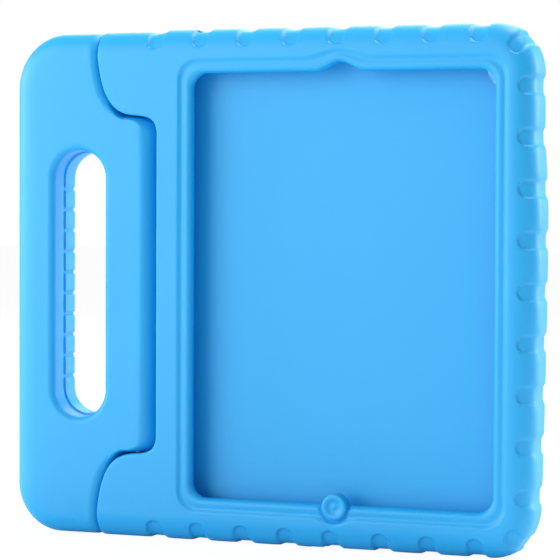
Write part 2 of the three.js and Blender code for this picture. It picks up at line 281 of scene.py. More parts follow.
def bezier(controls, count):
    """Points of a cubic Bezier curve at even parameters."""
    p0, p1, p2, p3 = controls
    t = np.linspace(0.0, 1.0, count)[:, None]
    s = 1.0 - t
    return s**3 * p0 + 3 * s * s * t * p1 + 3 * s * t * t * p2 + t**3 * p3


def seam_curve(shift, close=0.0):
    """Upper half of the seam, from above the ear down to mid-height: a line, two cubic curves and a
    line, moved sideways along its normal by shift (positive towards the ear), and by close more where
    the seam runs along the turned root."""
    root_end = np.array([HINGE_X, ROOT_HALF])
    top_count, shoulder_count, corner_count, wall_count = SEAM_COUNTS
    shoulder = bezier(root_end + SHOULDER_CURVE, shoulder_count)
    corner = bezier(root_end + CORNER_CURVE, corner_count)
    top = np.array([shoulder[0, 0], HALF_HEIGHT + SEAM_ABOVE])
    middle = np.array([corner[-1, 0], 0.0])
    points = np.vstack([np.linspace(top, shoulder[0], top_count)[:-1], shoulder, corner,
                        np.linspace(corner[-1], middle, wall_count)[1:]])
    along = np.gradient(points, axis=0)
    along /= np.linalg.norm(along, axis=1)[:, None]
    normal = np.stack([-along[:, 1], along[:, 0]], axis=1)
    whole_shift = shift + close * ramp(points[:, 0] - HINGE_X, *CLOSE_SPAN)
    return points + whole_shift[:, None] * normal, normal


def rotated(vectors, angle):
    """Plan vectors (n, 2) turned from x towards z by an angle each."""
    c, s = np.cos(angle), np.sin(angle)
    x, z = vectors[:, 0], vectors[:, 1]
    return np.stack([x * c - z * s, x * s + z * c], axis=1)


def resample(points, extra, at_lengths):
    """Positions and a second array taken along a polyline at given arc lengths."""
    steps = np.linalg.norm(np.diff(points, axis=0), axis=1)
    length = np.concatenate([[0.0], np.cumsum(steps)])

    def pick(values):
        return np.stack([np.interp(at_lengths, length, values[:, k]) for k in (0, 1)], axis=1)

    return pick(points), pick(extra)


def loop_points(segment, fraction, half_width, half_height, radius):
    """Upper half of a rounded rectangle. Segments: 0 right side upwards, 1 right corner, 2 top edge
    to the left, 3 left corner, 4 left side downwards; fraction runs from 0 to 1 along each."""
    cx = half_width - radius
    cz = half_height - radius
    quarter = fraction * np.pi / 2
    x = np.select([segment == 0, segment == 1, segment == 2, segment == 3],
                  [half_width + 0 * fraction, cx + radius * np.cos(quarter), cx * (1 - 2 * fraction),
                   -cx - radius * np.sin(quarter)], -half_width + 0 * fraction)
    z = np.select([segment == 0, segment == 1, segment == 2, segment == 3],
                  [cz * fraction, cz + radius * np.sin(quarter), half_height + 0 * fraction,
                   cz + radius * np.cos(quarter)], cz * (1 - fraction))
    return np.stack([x, z], axis=1)


def fan(pole, ring_start, count, turn):
    """Triangles from a pole to the closed ring of points that starts at ring_start."""
    here = np.arange(count)
    after = (here + 1) % count
    pair = (after, here) if turn else (here, after)
    return np.stack([np.full(count, pole), ring_start + pair[0], ring_start + pair[1]], axis=1).tolist()


# Columns of the case's border: offsets from a notch's middle, steps away from the seam's edge with the
# stretch of the seam they take up, offsets between the notches, then the spacing on the corners, round
# the seam's bend and down its wall
NOTCH_OFFSETS = np.array([0, 1.2, 2.3, 3.0, 3.5, 3.85, 4.1, 4.35, 4.7, 5.3])
NOTCH_OFFSETS = np.concatenate([-NOTCH_OFFSETS[:0:-1], NOTCH_OFFSETS])
EDGE_STEPS = np.array([0.0, 0.2, 0.6, 1.2, 2.0, 3.0, 4.2, 5.6, 7.2, 9.0, 11.0, 13.5, 16.5, 20.0, 24.0])
EDGE_SPAN = 14.0
EDGE_ROOM = 0.3
SIDE_OFFSETS = [9.0, 12.5, 16.0]
END_OFFSETS = [8.5, 12.3, 16.0]
END_MARGIN = 5.5
CORNER_SPREAD = np.linspace(6.2, 17.0, 8)
CORNER_LIMIT = 0.7071
FINE_STEP = 1.2
BEND_STEP = 1.5
DOWN_STEPS = np.array([0.0, 2.0, 6.0, 12.0, 20.0, 30.0, 42.0, 54.0, 66.0])
LEAST_COLUMN = 0.2
NO_NOTCH = 99.0

# Over these lengths beside an ear's or the handle's corner the rows turn from 45 degrees to straight
END_TURN = 22.0
SEAM_TURN = 34.0


def nick(x, seam_x):
    """How far the end edges of ear and handle drop as they round off towards the seam."""
    amount, width = SEAM_NICK
    return amount * (1 - ramp(np.abs(x - seam_x), 0.0, width))**2


def case_end_height(x, side):
    """Height of the case's end edge at x: full, a little lower on the ear, rounded off at the seam."""
    last = END_FIRST - END_PITCH * (END_COUNT - 1)
    lower = EAR_DROP[side] * ramp(-x, -last - 3.0, -last + 3.0)
    return HALF_HEIGHT - lower - nick(x, HINGE_X - SHOULDER_OUT)


def case_columns(side):
    """Half of the case's border, column by column, for the top (side 1) or the mirrored bottom (-1):
    place, inward direction, distance to the nearest notch's middle along the border, and the matching
    place on the inner loops."""
    border, inward, notch, segment, fraction = [], [], [], [], []

    def add(points, direction, notch_distance, seg, frac):
        border.append(points)
        inward.append(np.broadcast_to(direction, points.shape))
        notch.append(np.broadcast_to(notch_distance, len(points)))
        segment.append(np.full(len(points), seg))
        fraction.append(np.broadcast_to(frac, len(points)))

    # Right side
    straight = HALF_HEIGHT - OUTER_CORNER
    centres = np.arange(0, SIDE_COUNT) * SIDE_PITCH
    z = spread(centres, np.concatenate([NOTCH_OFFSETS, SIDE_OFFSETS]))
    z = z[(z >= 0) & (z < straight - LEAST_COLUMN)]
    nearest = z - centres[np.argmin(np.abs(z[:, None] - centres), axis=1)]
    add(np.stack([np.full_like(z, CASE_RIGHT), z], axis=1), (-1.0, 0.0), nearest, 0, z / straight)

    # Right corner with its diagonal notch
    across = np.concatenate([-CORNER_SPREAD[::-1], NOTCH_OFFSETS, CORNER_SPREAD])
    angle = np.pi / 4 + np.arcsin(np.clip(across / OUTER_CORNER, -CORNER_LIMIT, CORNER_LIMIT))
    radial = np.stack([np.cos(angle), np.sin(angle)], axis=1)
    centre = np.array([CASE_RIGHT - OUTER_CORNER, straight])
    add(centre + OUTER_CORNER * radial, -radial, across, 1, angle / (np.pi / 2))

    # End edge, with the ear's last stretch
    corner_x = CASE_RIGHT - OUTER_CORNER
    inner_corner = RING[0] - RING[2]
    centres = END_FIRST - END_PITCH * np.arange(END_COUNT) + (LOWER_SHIFT if side < 0 else 0.0)
    fine = np.arange(-FINE_HALF, FINE_HALF, FINE_STEP)
    x = spread(centres, np.concatenate([NOTCH_OFFSETS, END_OFFSETS]), fine)
    x = x[(x < corner_x - LEAST_COLUMN) & (x > centres[-1] - END_MARGIN)][::-1]
    ear_edge = HINGE_X - SHOULDER_OUT + SEAM_SEEN / 2
    room = x[-1] - ear_edge - EDGE_ROOM
    x = np.concatenate([x, ear_edge + EDGE_STEPS[EDGE_STEPS < room][::-1]])
    nearest = x - centres[np.argmin(np.abs(x[:, None] - centres), axis=1)]
    height = case_end_height(x, side)
    turn = ramp(-x, -ear_edge - END_TURN, -ear_edge) * np.pi / 4
    direction = np.stack([np.tan(turn), -np.ones_like(turn)], axis=1)
    over_ring = x > -inner_corner
    points = np.stack([x, height], axis=1)
    along_top = (corner_x - x[over_ring]) / (corner_x + inner_corner)
    add(points[over_ring], direction[over_ring], nearest[over_ring], 2, along_top)
    past = ~over_ring
    along_ear = (-inner_corner - x[past]) / (-inner_corner - ear_edge)
    add(points[past], direction[past], nearest[past], 3, EAR_SHARE * along_ear)

    # Seam side of the ear, then the straight wall beside the handle's root
    curve, normal = seam_curve(SEAM_SEEN / 2)
    top = np.array([[ear_edge, height[-1]]])
    below = curve[:, 1] < top[0, 1] - 0.01
    curve = np.vstack([top, curve[below]])
    normal = np.vstack([[[1.0, 0.0]], normal[below]])
    bend = curve[curve[:, 1] > ROOT_HALF - SEAM_CORNER - 0.5]
    bend_length = np.linalg.norm(np.diff(bend, axis=0), axis=1).sum()
    lengths = np.concatenate([
        EDGE_STEPS[(EDGE_STEPS > 0) & (EDGE_STEPS < EDGE_SPAN)],
        np.arange(EDGE_SPAN + BEND_STEP, bend_length, BEND_STEP),
        bend_length + DOWN_STEPS,
    ])
    points, direction = resample(curve, normal, lengths)
    points = np.vstack([points, [[points[-1, 0], 0.0]]])
    direction = np.vstack([direction, [[1.0, 0.0]]])
    lengths = np.append(lengths, lengths[-1] + (DOWN_STEPS[-1] - DOWN_STEPS[-2]))
    turn = (1 - ramp(lengths, 0.0, SEAM_TURN)) * np.pi / 4
    direction = rotated(direction, -turn) / np.cos(turn)[:, None]
    level = points[:, 1] + direction[:, 1] * RIM_REACH
    corner_level = RING[1] - RING[2]
    round_corner = level > corner_level
    far = np.full(len(points), NO_NOTCH)
    share = EAR_SHARE + (1 - EAR_SHARE) * lengths / lengths[~round_corner][0]
    add(points[round_corner], direction[round_corner], far[round_corner], 3, share[round_corner])
    rest = ~round_corner
    add(points[rest], direction[rest], far[rest], 4, 1 - np.clip(level[rest], 0, None) / corner_level)

    return (np.vstack(border), np.vstack(inward), np.concatenate(notch), np.concatenate(segment),
            np.concatenate(fraction))


def outline_distance(points, side):
    """Distance in from the rim's outline, and the inward direction there, the ears' cut left aside."""
    x, z = points[..., 0], np.abs(points[..., 1])
    half = case_end_height(x, side)
    qx = x - (CASE_RIGHT - OUTER_CORNER)
    qz = z - (half - OUTER_CORNER)
    outside = np.hypot(np.maximum(qx, 0), np.maximum(qz, 0))
    distance = OUTER_CORNER - outside - np.minimum(np.maximum(qx, qz), 0)
    safe = np.maximum(outside, 1e-9)
    dx = np.where(outside > 0, np.maximum(qx, 0) / safe, qx > qz)
    dz = np.where(outside > 0, np.maximum(qz, 0) / safe, qz >= qx)
    return np.maximum(distance, 0.0), np.stack([-dx, -dz * np.sign(points[..., 1])], axis=-1)


# The seam's two visible sides, then how finely they are sampled for distances, and how many points are
# measured at a time
SEAM_EAR, _ = seam_curve(SEAM_SEEN / 2)
SEAM_HANDLE, _ = seam_curve(-SEAM_SEEN / 2, SEAM_CLOSE)
LINE_SAMPLES = 1500
BLOCK_POINTS = 4000


def distance_to(points, line, limit=30.0):
    """Shortest distance from plan points, folded to the upper half, to a polyline's points."""
    folded = np.stack([points[..., 0], np.abs(points[..., 1])], axis=-1).reshape(-1, 2)
    samples = np.linspace(0, len(line) - 1, LINE_SAMPLES)
    dense_x = np.interp(samples, np.arange(len(line)), line[:, 0])
    dense_z = np.interp(samples, np.arange(len(line)), line[:, 1])
    result = np.full(len(folded), limit)
    near = np.flatnonzero(folded[:, 0] < line[:, 0].max() + limit / 2)
    for block in np.array_split(near, max(len(near) // BLOCK_POINTS, 1)):
        gap = np.hypot(folded[block, 0][:, None] - dense_x, folded[block, 1][:, None] - dense_z)
        result[block] = np.minimum(gap.min(axis=1), limit)
    return result.reshape(points.shape[:-1])


def fold_relief(side):
    """Solid behind an ear that the folding handle needs free. With s the seam's distance left of the
    hinge at a height, none where the turned root lies, its front is a circle of radius s left of the
    hinge, then the line that the folded handle's edge lies on, up to the slanting wall that the folded
    handle's back face lies on."""
    slope = FOLD_ANGLE - np.pi / 2
    behind = BACK_Y + RELIEF_PAST
    wall_end = ((behind - HINGE_Y) * np.sin(slope) + BACK_Y - HINGE_Y + FOLD_ROOM) / np.cos(slope)
    left_count, near_count, wall_count = RELIEF_COLUMNS
    hinge_gap, wall_gap = RELIEF_GAPS
    x = np.concatenate([np.linspace(-SHOULDER_OUT - RELIEF_PAST, 0.0, left_count),
                        np.linspace(hinge_gap, BACK_Y - HINGE_Y, near_count),
                        np.linspace(BACK_Y - HINGE_Y + wall_gap, wall_end, wall_count)])
    line = SEAM_EAR[::-1]
    z = line[(line[:, 1] > ROOT_HALF - SEAM_CORNER / 2), 1]
    z = z[np.concatenate([[True], np.diff(z) > RELIEF_ROW_GAP])]
    x, z = np.meshgrid(x, z, indexing="ij")
    s = np.maximum(HINGE_X - np.interp(z, line[:, 1], line[:, 0]), -SEAM_GAP)
    left = np.sqrt(np.maximum(s * s - x * x, 0)) * (s > 0)
    right = (s - np.sin(slope) * x) / np.cos(slope)
    wall = (x * np.cos(slope) - (BACK_Y - HINGE_Y) - FOLD_ROOM) / np.sin(slope)
    near = np.minimum(HINGE_Y + np.maximum(np.where(x < 0, left, right), wall), behind - RELIEF_LEAST)
    front = np.stack([x + HINGE_X, near, side * z], axis=-1)
    back = np.stack([x + HINGE_X, np.full_like(x, behind), side * z], axis=-1)[:, ::-1]
    loops = np.concatenate([front, back], axis=1)
    rows, columns = loops.shape[:2]
    caps = [list(range(columns)), list(range((rows - 1) * columns, rows * columns))]
    return loops.reshape(-1, 3), grid_faces(rows, columns, False).tolist() + caps


# Rows of the case: shares of the reach in from the border, of the wall between front and back, of the
# plateau between rim and lip, and steps across the lip
FRONT_INSETS = np.array([0, 0.06, 0.22, 0.5, 0.9, 1.45, 2.15, 3.0, 4.0, 5.0, 5.8, 6.5, 7.1, 7.65, 8.1, 8.5,
                         8.85, 9.2, 9.55, 9.9, 10.4, 11.0, 11.6]) / 11.6
WALL_STEPS = np.array([0.2, 0.4, 0.6, 0.8])
PLATEAU_SHARES = np.array([0.15, 0.35, 0.6, 0.8])[:, None, None]
LIP_STEPS = np.array([-CREST_OUT, -1.9, -1.4, -0.9, -0.4, 0.1, 0.6, 1.1, 1.7, 2.4, 3.1, 3.7, 4.3, 4.8, 5.2,
                      5.55, 5.85, 6.05, 6.17, LIP_BAND])

# Window's wall as (distance out, depth), the shares of the lip's underside, then the pocket's wall and
# floor as (share of the pocket's loop, depth); last the shares of the loop on the back
WINDOW_ROWS = ((0.0, -1.6), (0.0, -0.7), (0.25, -0.15), (0.8, POCKET_FRONT))
UNDER_SHARES = (0.4, 0.8)
POCKET_ROWS = ((0.995, 0.0), (1.0, 0.5), (1.0, 4.8), (1.0, 8.4), (0.997, 9.2), (0.989, POCKET_Y),
               (0.9, POCKET_Y), (0.7, POCKET_Y), (0.45, POCKET_Y), (0.2, POCKET_Y), (0.05, POCKET_Y))
BACK_SHARES = (0.03, 0.1, 0.3, 0.55, 0.8, 1.0)


def stack_rows(plan, y):
    """Grid rows from plan points (x, z) and one depth for each row or each point."""
    plan = np.asarray(plan)
    y = np.broadcast_to(np.asarray(y, float).reshape(len(plan), -1), plan.shape[:2])
    return np.concatenate([plan[..., :1], y[..., None], plan[..., 1:]], axis=-1)


def case_half(side):
    """Grid of the case's upper half (side 1) or of its lower half, mirrored up (side -1)."""
    border, inward, notch, segment, fraction = case_columns(side)
    ring = loop_points(segment, fraction, *RING)
    window = loop_points(segment, fraction, *WINDOW)
    pocket = loop_points(segment, fraction, *POCKET)
    end_edge = segment == 2
    if side > 0:
        ring[:, 1] += end_edge * RING_BUMP[0] * bump(ring[:, 0], RING_BUMP[1])
        window[:, 1] += end_edge * LENS_BUMP[0] * bump(window[:, 0], LENS_BUMP[1])
    else:
        ring[:, 1] += end_edge * PAD_DIP[0] * bump(ring[:, 0] - PAD_X, PAD_DIP[1])
    band = ring - window
    band /= np.linalg.norm(band, axis=1)[:, None]
    crest = ring + band * CREST_OUT
    reach = np.minimum(RIM_REACH, np.linalg.norm(crest - border, axis=1) - RIM_SPARE)
    rows_front = border[None] + inward[None] * (FRONT_INSETS[:, None] * reach)[..., None]

    def front_height(plan):
        inset, _ = outline_distance(plan, side)
        edge = distance_to(plan, SEAM_EAR)
        rolled = roll(inset, FRONT_ROLL_WIDTH, FRONT_ROLL_DEPTH) + roll(edge, SEAM_EDGE, SEAM_EDGE)
        return np.minimum(FRONT_Y + rolled, FRONT_LOWEST)

    def back_height(plan):
        inset, _ = outline_distance(plan, side)
        edge = distance_to(plan, SEAM_EAR)
        return BACK_Y - roll(inset, BACK_ROLL, BACK_ROLL) - roll(edge, SEAM_EDGE_BACK, SEAM_EDGE_BACK)

    def notched(plan, y, front):
        """Moves the skin inwards along its normal by the notch's depth inside each U."""
        inset, direction = outline_distance(plan, side)
        width, depth = (FRONT_ROLL_WIDTH, FRONT_ROLL_DEPTH) if front else (BACK_ROLL, BACK_ROLL)
        cosine = np.clip((width - inset) / width, 0, 1)
        across, into = cosine / width, np.sqrt(1 - cosine**2) / depth
        size = np.hypot(across, into)
        narrowing = np.where((segment == 1)[None], 1 - inset / OUTER_CORNER, 1.0)
        along = notch[None] * narrowing
        end = NOTCH_REACH - NOTCH_WIDTH / 2
        outside = np.hypot(along, np.maximum(inset - end, 0)) - NOTCH_WIDTH / 2
        soft = np.interp(inset, [0, end], [NOTCH_SOFT_WALL, NOTCH_SOFT_FRONT])
        depth_here = NOTCH_DEPTH * (1 - ramp(outside / soft, -1.0, 1.0))
        moved = plan + direction * (depth_here * across / size)[..., None]
        return moved, y + (1 if front else -1) * depth_here * into / size

    y_front = front_height(rows_front)
    y_back = back_height(rows_front)
    plan_f, y_f = notched(rows_front, y_front, True)
    plan_b, y_b = notched(rows_front, y_back, False)
    wall_plan = np.broadcast_to(plan_f[0], (len(WALL_STEPS),) + plan_f[0].shape)
    wall_y = y_f[0] + (y_b[0] - y_f[0]) * WALL_STEPS[:, None]

    # Plateau between the rim's roll and the lip's crest
    plateau = rows_front[-1] * (1 - PLATEAU_SHARES) + crest * PLATEAU_SHARES
    plateau_y = front_height(plateau)

    # Lip: fall to a gutter at the ring line, then a low bead, rounded off into the window
    v = LIP_STEPS[:, None]
    outwards = band * np.maximum(-v, 0)[..., None]
    lip = ring + outwards + (window - ring) * (np.maximum(v, 0) / LIP_BAND)[..., None]
    bead = np.sin(np.pi * np.clip((v - BEAD_SPAN[0]) / BEAD_SPAN[1], 0, 1))**2
    rounding = roll(LIP_BAND - v, LIP_ROUND, LIP_ROUND_DEPTH)
    lip_y = front_height(lip) + (STEP_DEPTH * ramp(v, *STEP_SPAN) - BEAD_HEIGHT * bead + rounding)
    if side < 0:
        out, half_width, depth = PAD_CHANNEL
        away = np.abs(np.hypot(lip[..., 0] - PAD_X, lip[..., 1] + PAD_Z) - PAD_RADIUS - out / 2)
        channel = 1 - ramp(away, half_width / 2, half_width + CHANNEL_SOFT)
        lip_y = lip_y + depth * channel * ramp(v, *CHANNEL_SPAN)

    # Window wall, underside of the lip, pocket wall and floor, and the loops on the back
    inner = [(window + band * out, y) for out, y in WINDOW_ROWS]
    inner += [(window * (1 - s) + pocket * s, POCKET_FRONT) for s in UNDER_SHARES]
    inner += [(pocket * s, y) for s, y in POCKET_ROWS]
    back_loop = loop_points(segment, fraction, *(size + CREST_OUT for size in RING))
    back_flat = rows_front[-1] * (1 - PLATEAU_SHARES) + back_loop * PLATEAU_SHARES
    back_plan = [back_loop * s for s in BACK_SHARES]

    return np.concatenate([
        stack_rows(back_plan, [BACK_Y] * len(back_plan)),
        stack_rows(back_flat[::-1], back_height(back_flat)[::-1]),
        stack_rows(plan_b[::-1], y_b[::-1]),
        stack_rows(wall_plan[::-1], wall_y[::-1]),
        stack_rows(plan_f, y_f),
        stack_rows(plateau, plateau_y),
        stack_rows(lip, lip_y),
        stack_rows([plan for plan, _ in inner], [y for _, y in inner]),
    ])


def draw_in(points):
    """The right side's slight bow: x less the draw at that height, eased in over the rim's width."""
    z = points[:, 2]
    start, full, amount = DRAW_UPPER
    upper = amount * ramp(z, start, full)
    start, full, amount = DRAW_LOWER
    lower = amount * (np.maximum(start - z, 0) / (start - full))**DRAW_POWER
    points[:, 0] -= (upper + lower) * ramp(points[:, 0], DRAW_FROM, CASE_RIGHT)
    return points


def circle(x, z, radius, count=48):
    """Corners (n, 2) of a circle."""
    angle = np.linspace(0, 2 * np.pi, count, endpoint=False)
    return np.stack([x + radius * np.cos(angle), z + radius * np.sin(angle)], axis=1)


def case_foam(material):
    """The case as one closed grid. Each column runs from the middle of the back over the rim, in over
    the lip, round the pocket and to the middle of its floor; heights come from each point's place.
    The lens hole, the sound slot, the plug opening and the jack hole are then cut out of it."""
    upper = case_half(1)
    lower = case_half(-1)[:, 1:-1][:, ::-1] * np.array([1, 1, -1])
    full = np.concatenate([upper, lower], axis=1)
    total_rows, total_columns = full.shape[:2]
    points = draw_in(np.vstack([full.reshape(-1, 3), [[0, BACK_Y, 0]], [[0, POCKET_Y, 0]]]))
    quads = grid_faces(total_rows, total_columns, False).tolist()
    back_pole = total_rows * total_columns
    last = (total_rows - 1) * total_columns
    fans = fan(back_pole, 0, total_columns, True) + fan(back_pole + 1, last, total_columns, False)
    piece = mesh_object("case_foam", points, quads + fans, material)

    def through_back(plan):
        return prism(np.insert(plan, 1, POCKET_Y - 1.0, axis=1), np.array([0, BACK_Y - POCKET_Y + 2.0, 0]))

    x, z, half_length, radius = SOUND_SLOT
    slot = circle(x, z, radius)
    slot[:, 0] += half_length * np.where(slot[:, 0] > x, 1, -1)
    half, near, deep = PLUG_OPENING
    plug = np.array([[-half, near], [half, near], [half, deep], [-half, deep]])
    jack_x, jack_y, jack_radius = JACK_HOLE
    jack = circle(jack_x, jack_y, jack_radius)
    low, high = -HALF_HEIGHT - 1.0, -POCKET[1] + 2.0
    upwards = np.array([0, 0, high - low])
    cut(piece, [
        through_back(circle(*LENS_HOLE)),
        through_back(slot),
        prism(np.insert(plug, 2, low, axis=1), upwards),
        prism(np.insert(jack, 2, -high, axis=1), upwards),
        fold_relief(1),
        fold_relief(-1),
    ])
    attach(piece, "case")
    return piece


# Rows of the handle: shares of the reach in from its border, rows between them and the slot, offsets
# out from the slot's wall, the wall's depths down to the ledge, then (offset, depth, grooved or not)
# over the ledge, along the grooved strip and round the back edge
HANDLE_SHARES = np.array([0, 0.004, 0.016, 0.036, 0.064, 0.1, 0.144, 0.195, 0.25, 0.31, 0.375, 0.44, 0.51,
                          0.58, 0.66, 0.74, 0.83, 0.92, 1.0])
BRIDGE_ROWS = 8
SLOT_OFFSETS = np.array([9.0, 7.0, 5.4, 4.3, SLOT_ROUND, 3.1, 2.6, 2.1, 1.65, 1.25, 0.9, 0.6, 0.35, 0.15,
                         0.04, 0.0])
SLOT_WALL_Y = [0.0, 2.5, 4.6, 5.8, 6.25]
SLOT_INNER = [(0.0, SLOT_LEDGE_Y, 0), (-0.12, SLOT_LEDGE_Y + 0.06, 0), (-0.85, SLOT_LEDGE_Y + 0.1, 1),
              (-SLOT_LEDGE, SLOT_LEDGE_Y + 0.3, 1), (-SLOT_LEDGE, SLOT_LEDGE_Y + 0.7, 1)]
SLOT_INNER += [(-SLOT_LEDGE, y, 1) for y in (9.0, 11.5, 14.0, 15.6, 16.4)]
SLOT_INNER += [(-SLOT_LEDGE + 0.12, 17.2, 1), (-SLOT_LEDGE + 0.5, 17.85, 1), (-SLOT_LEDGE + 1.1, 18.25, 1),
               (1.0, BACK_Y, 1)]
SLOT_BACK_OFFSET = 4.0
BORDER_STEPS = np.array([0.25, 0.5, 0.75])

# Columns of the handle: spacing along the seam and round the corner, offsets from a groove's middle; then
# how soft a groove's walls are (inside, outside) and the angle past which the wall has grooves
CURVE_STEP = 1.2
CORNER_COLUMNS = 22
GROOVE_OFFSETS = [-3.6, -1.9, -1.1, -0.85, -0.55, 0, 0.55, 0.85, 1.1, 1.9, 3.6]
GROOVE_SOFT = (0.25, 0.2)
LEFT_WALL = 179.9


def handle_half(side):
    """Grid of the handle's upper half (side 1) or of its lower half, mirrored up (side -1), from its
    border over the front to the slot, through the slot and back over the rear face; heights come from
    each point's place."""
    tall, corner = HANDLE_HALF[side], HANDLE_CORNER[side]
    curve, normal = seam_curve(-SEAM_SEEN / 2, SEAM_CLOSE)
    keep = curve[:, 1] < tall - SEAM_NICK[0] - 0.01
    curve = np.vstack([[[HINGE_X - SHOULDER_OUT - SEAM_SEEN / 2, tall - SEAM_NICK[0]]], curve[keep]])[::-1]
    normal = -np.vstack([[[1.0, 0.0]], normal[keep]])[::-1]
    total = np.linalg.norm(np.diff(curve, axis=0), axis=1).sum()
    wall = ROOT_HALF - SEAM_CORNER
    lengths = np.concatenate([
        np.linspace(0, wall - 8, 10), np.linspace(wall - 6, wall, 4),
        np.arange(wall + CURVE_STEP, total - EDGE_SPAN, CURVE_STEP),
        total - EDGE_STEPS[EDGE_STEPS < EDGE_SPAN][::-1],
    ])
    seam_points, seam_inward = resample(curve, normal, lengths)
    seam_inward = rotated(seam_inward, (1 - ramp(total - lengths, 0.0, END_TURN)) * np.pi / 4)
    seam_inward /= np.linalg.norm(seam_inward, axis=1)[:, None]
    bend = np.clip((lengths - wall) / (total - wall), 0, 1)
    on_wall = lengths < wall
    seam_reach = np.interp(
        lengths, [0, wall - 12, wall, wall + 16, total - END_TURN, total - END_TURN / 2, total], SEAM_REACHES)

    x_right = HINGE_X - SHOULDER_OUT - SEAM_SEEN / 2
    x_left = HANDLE_LEFT + corner
    top_x = x_right - EDGE_STEPS[(EDGE_STEPS > 0) & (EDGE_STEPS < x_right - x_left - 1.0)]
    top_x = np.append(top_x, x_left)
    turn = (1 - ramp(x_right - top_x, 0.0, END_TURN)) * np.pi / 4
    top_points = np.stack([top_x, tall - nick(top_x, x_right)], axis=1)
    top_inward = np.stack([-np.sin(turn), -np.cos(turn)], axis=1)
    angle = np.linspace(np.pi / 2, np.pi, CORNER_COLUMNS)[1:-1]
    radial = np.stack([np.cos(angle), np.sin(angle)], axis=1)
    corner_points = np.array([x_left, tall - corner]) + corner * radial
    groove_z = (np.arange(GROOVE_COUNT) + 0.5) * GROOVE_PITCH
    slot_z = spread(groove_z, GROOVE_OFFSETS)
    slot_z = np.append(slot_z[slot_z < SLOT_STRAIGHT - 0.5], SLOT_STRAIGHT)[::-1]
    slot_z = np.append(slot_z, 0.0)
    left_z = slot_z / SLOT_STRAIGHT * (tall - corner)
    left_points = np.stack([np.full_like(left_z, HANDLE_LEFT), left_z], axis=1)

    border = np.vstack([seam_points, top_points, corner_points, left_points])
    inward = np.vstack([seam_inward, top_inward, -radial, np.broadcast_to((1.0, 0.0), left_points.shape)])
    top_reach = np.interp(x_right - top_x, [0.0, TOP_REACH_SPAN], [SEAM_REACHES[-1], HANDLE_REACH])
    left_reach = np.full(len(corner_points) + len(left_points), HANDLE_REACH)
    reach = np.concatenate([seam_reach, top_reach, left_reach])

    # Each column's place on the slot: up the right wall at 0 degrees, round the end, down the left wall
    arc = np.concatenate([
        np.where(on_wall, 0, bend) * SLOT_ARC[0],
        np.interp(x_right - top_x, [0.0, x_right - x_left], SLOT_ARC),
        np.interp(angle, [np.pi / 2, np.pi], [SLOT_ARC[1], 180.0]),
        np.full(len(left_z), 180.0),
    ])
    slot_height = np.concatenate([
        np.where(on_wall, lengths / wall * SLOT_STRAIGHT, SLOT_STRAIGHT),
        np.full(len(top_x) + len(angle), SLOT_STRAIGHT),
        slot_z,
    ])
    radians = np.radians(arc)
    out = np.stack([np.cos(radians), np.sin(radians)], axis=1)
    slot_base = np.stack([np.full_like(arc, SLOT_X), slot_height], axis=1)
    seam_z = SEAM_HANDLE[::-1]
    by_x = SEAM_HANDLE[np.argsort(SEAM_HANDLE[:, 0])]

    def slot_at(offset):
        """Each column's plan point at an offset out from the slot's wall."""
        return slot_base + out * (SLOT_HALF_WIDTH + offset)

    def root_radius(z):
        """Radius of the turned root at a height: how far the seam lies right of the hinge there."""
        return np.maximum(np.interp(z, seam_z[:, 1], seam_z[:, 0]) - HINGE_X, 0)

    def heights(plan):
        """Depths of the front and of the back at plan points."""
        x = plan[..., 0] - HINGE_X
        z = np.abs(plan[..., 1])
        qx = -(plan[..., 0] - (HANDLE_LEFT + corner))
        qz = z - (tall - nick(plan[..., 0], HINGE_X - SHOULDER_OUT) - corner)
        outside = np.hypot(np.maximum(qx, 0), np.maximum(qz, 0))
        inset = np.maximum(corner - outside - np.minimum(np.maximum(qx, qz), 0), 0)
        side_share = np.where(outside > 0, np.maximum(qx, 0) / np.maximum(outside, 1e-9), qx > qz)
        width = HANDLE_ROLL_TOP + HANDLE_ROLL_MORE * side_share**2
        edge = distance_to(plan, SEAM_HANDLE)
        radius = root_radius(z)
        round_root = np.sqrt(np.maximum(radius**2 - np.maximum(x, 0)**2, 0))
        under = np.maximum(np.interp(x + HINGE_X, by_x[:, 0], by_x[:, 1]) - z, 0)
        crossing = np.interp(HINGE_X, by_x[:, 0], by_x[:, 1])
        nose = root_radius(crossing - under)
        near_axis = ramp(x, -ROOT_BLEND, 0.0) * (x <= 0)
        front = FRONT_Y - HINGE_Y
        back = BACK_Y - HINGE_Y
        fall, fall_width = HANDLE_FALL
        soft_front = front + fall * np.maximum(1 - inset / fall_width, 0)**2
        soft_front = soft_front + (1 - fall / HANDLE_ROLL_DEPTH) * roll(inset, width, HANDLE_ROLL_DEPTH)
        soft_front = soft_front + roll(edge, *HANDLE_SEAM_FRONT)
        soft_back = back - roll(inset, BACK_ROLL, BACK_ROLL) - roll(edge, *HANDLE_SEAM_BACK)
        left_front = soft_front * (1 - near_axis) + np.maximum(front, -nose) * near_axis
        left_back = soft_back * (1 - near_axis) + np.minimum(back, nose) * near_axis
        y_front = np.where(x > 0, np.maximum(front, -round_root), left_front)
        y_back = np.where(x > 0, np.minimum(back, round_root), left_back)
        middle = 0.5 * (y_front + y_back)
        y_front = np.minimum(y_front, middle - LEAST_HALF)
        y_back = np.maximum(y_back, middle + LEAST_HALF)
        return y_front + HINGE_Y, y_back + HINGE_Y

